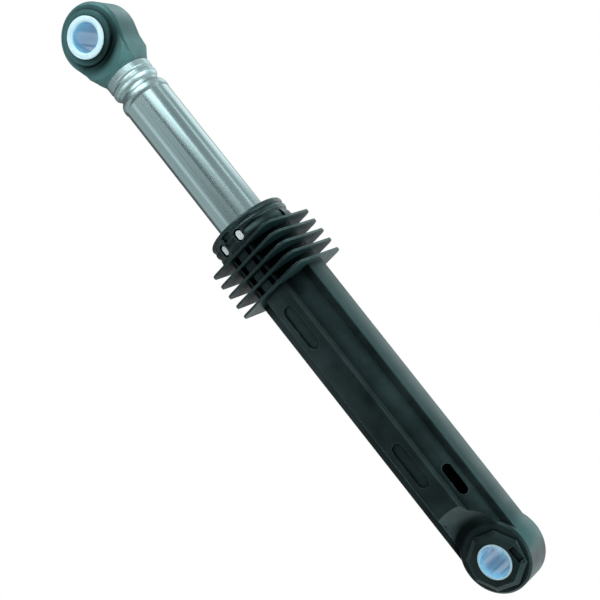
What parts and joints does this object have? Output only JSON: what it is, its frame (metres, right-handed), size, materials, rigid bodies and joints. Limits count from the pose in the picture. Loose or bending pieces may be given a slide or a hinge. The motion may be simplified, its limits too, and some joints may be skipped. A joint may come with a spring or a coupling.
{
  "type": "friction damper",
  "caption": "Washing machine drum damper: a black moulded cylinder with fins, collar and pin eye, and a steel rod tube that slides and turns in it under a bushed rod eye.",
  "frame": {"origin": "centre of the lower pin bore, on its axis", "axes": "+Z along the damper from the lower pin to the rod eye; -Y is the front, the way the lower pin leaves; the rod eye is turned 7.8 degrees about +Z as pictured"},
  "size_m": [0.0386, 0.0362, 0.3076],
  "materials": {
    "cylinder": "satin black moulding",
    "lower_bush": "white moulding",
    "lining_cage": "white moulding",
    "friction_lining": "greased foam strip",
    "end_guide": "white moulding",
    "rod_tube": "zinc plated tube",
    "upper_eye": "satin black moulding",
    "upper_bush": "white moulding"
  },
  "bodies": {
    "cylinder": {"cylinder": "cylinder", "lower_bush": "lower_bush", "lining_cage": "lining_cage", "friction_lining": "friction_lining"},
    "guide": {"end_guide": "end_guide"},
    "rod": {"rod_tube": "rod_tube", "upper_eye": "upper_eye", "upper_bush": "upper_bush"}
  },
  "joints": [
    {"name": "rod_slide", "type": "slide", "parent": "cylinder", "child": "guide", "axis": [0, 0, 1], "range_m": [-0.07, 0.0385]},
    {"name": "rod_turn", "type": "hinge", "parent": "guide", "child": "rod", "pos_m": [0, 0, 0], "axis": [0, 0, 1], "continuous": true}
  ]
}
